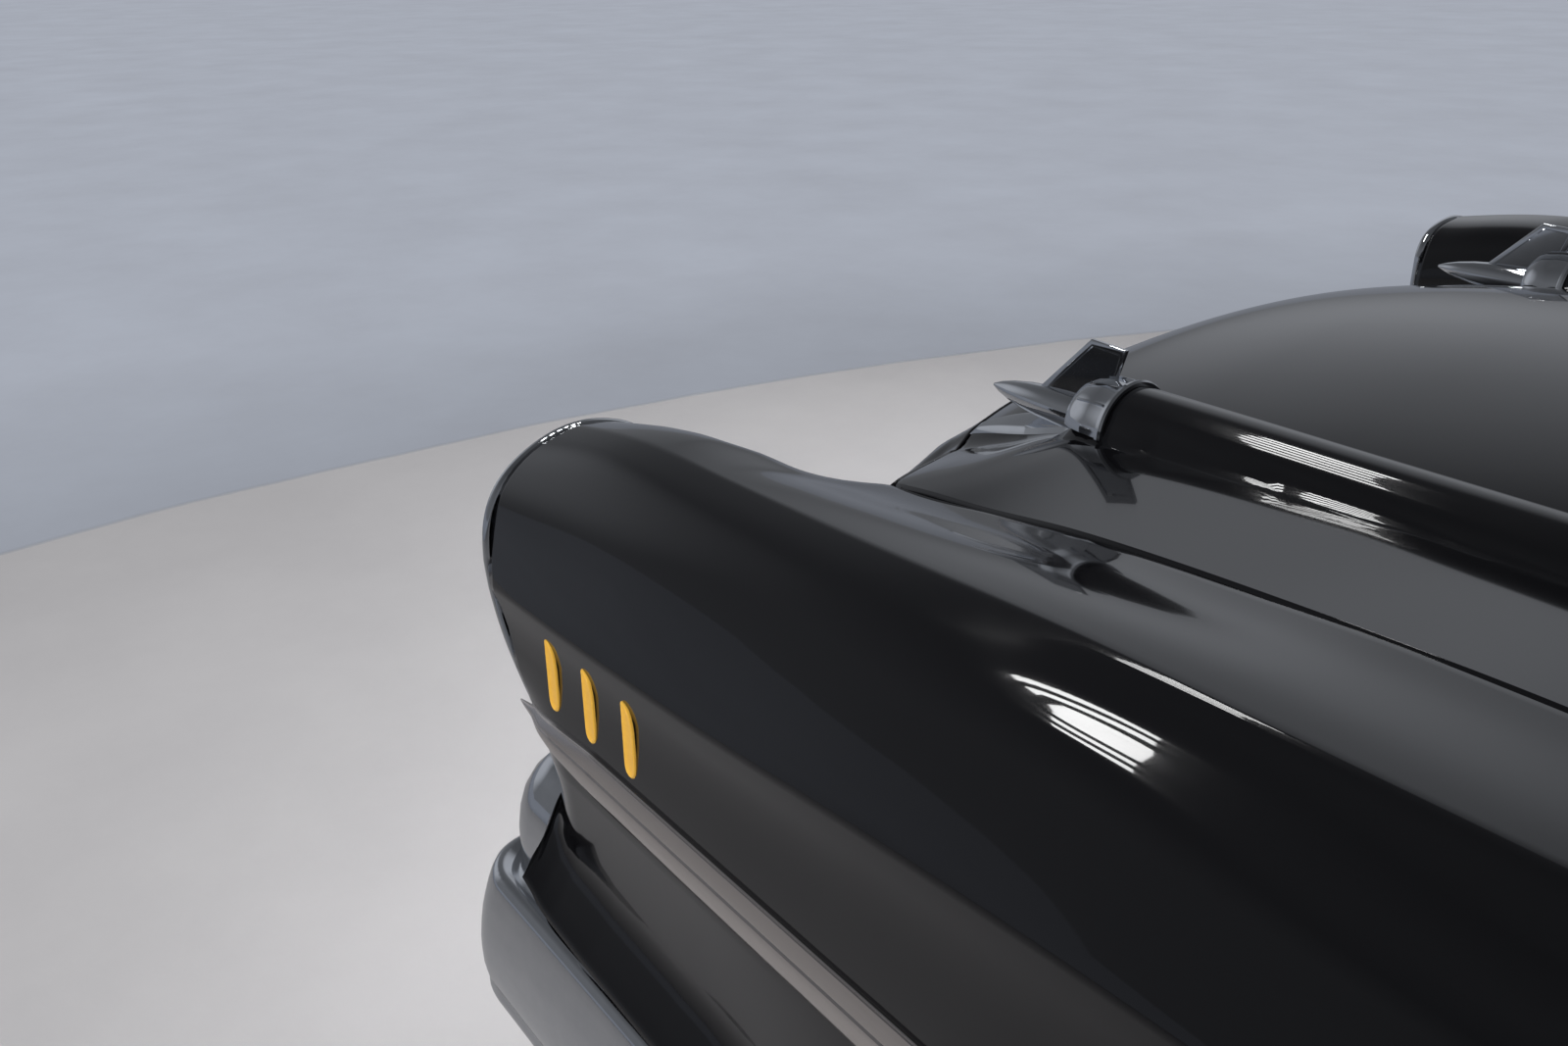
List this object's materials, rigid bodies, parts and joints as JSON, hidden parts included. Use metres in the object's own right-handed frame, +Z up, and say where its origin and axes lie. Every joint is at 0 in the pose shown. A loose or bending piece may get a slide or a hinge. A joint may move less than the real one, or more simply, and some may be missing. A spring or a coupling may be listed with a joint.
{
  "type": "car front end",
  "caption": "Front end of a 1950s car: rear-hinged hood with rocket ornaments, peaked fenders with lamp pods, grille, wrap-round bumper, inner panels and radiator.",
  "frame": {"origin": "centre of the rectangle of cowl bolts in the fenders' rear flanges, in the cowl joint plane", "axes": "+X forward, +Y to the car's left, +Z up; Y is normal to the centre plane"},
  "size_m": [1.5634, 1.876, 0.824],
  "materials": {
    "black_enamel": "gloss",
    "underside_paint": "satin",
    "chrome": "polished",
    "bright_trim": "polished",
    "gold_trim": "gold anodised satin",
    "lamp_glass": "clear fluted",
    "parking_lens": "clear ribbed",
    "zinc_plate": "zinc plated",
    "radiator_black": "satin",
    "horn_black": "semi-gloss"
  },
  "bodies": {
    "front_clip": {"bumper_bracket_left": "underside_paint", "bumper_bracket_right": "underside_paint", "bumper_guard_left": "chrome", "bumper_guard_right": "chrome", "core_support": "underside_paint", "fender_left": "black_enamel", "fender_louvres_left": "gold_trim", "fender_louvres_right": "gold_trim", "fender_right": "black_enamel", "front_bumper": "chrome", "grille_mesh": "bright_trim", "grille_surround": "chrome", "header_panel": "black_enamel", "headlamp_bezel_left": "chrome", "headlamp_bezel_right": "chrome", "headlamp_bucket_left": "zinc_plate", "headlamp_bucket_right": "zinc_plate", "headlamp_lens_left": "lamp_glass", "headlamp_lens_right": "lamp_glass", "hinge_bracket_left": "underside_paint", "hinge_bracket_right": "underside_paint", "hood_latch": "zinc_plate", "horn_left": "horn_black", "horn_right": "horn_black", "inner_fender_left": "underside_paint", "inner_fender_right": "underside_paint", "parking_lamp_left": "parking_lens", "parking_lamp_right": "parking_lens", "radiator": "radiator_black", "side_moulding_left": "bright_trim", "side_moulding_right": "bright_trim", "stone_guard": "underside_paint", "upper_bumper_bar": "chrome"},
    "hood": {"hood": "black_enamel", "hood_bracing": "underside_paint", "hood_striker": "zinc_plate", "hood_ornament_left": "chrome", "hood_ornament_right": "chrome", "hinge_arm_left": "underside_paint", "hinge_arm_right": "underside_paint"}
  },
  "joints": [
    {"name": "hood_lift", "type": "hinge", "parent": "front_clip", "child": "hood", "pos_m": [-0.04, 0, 0.305], "axis": [0, -1, 0], "range_deg": [0, 48]}
  ]
}
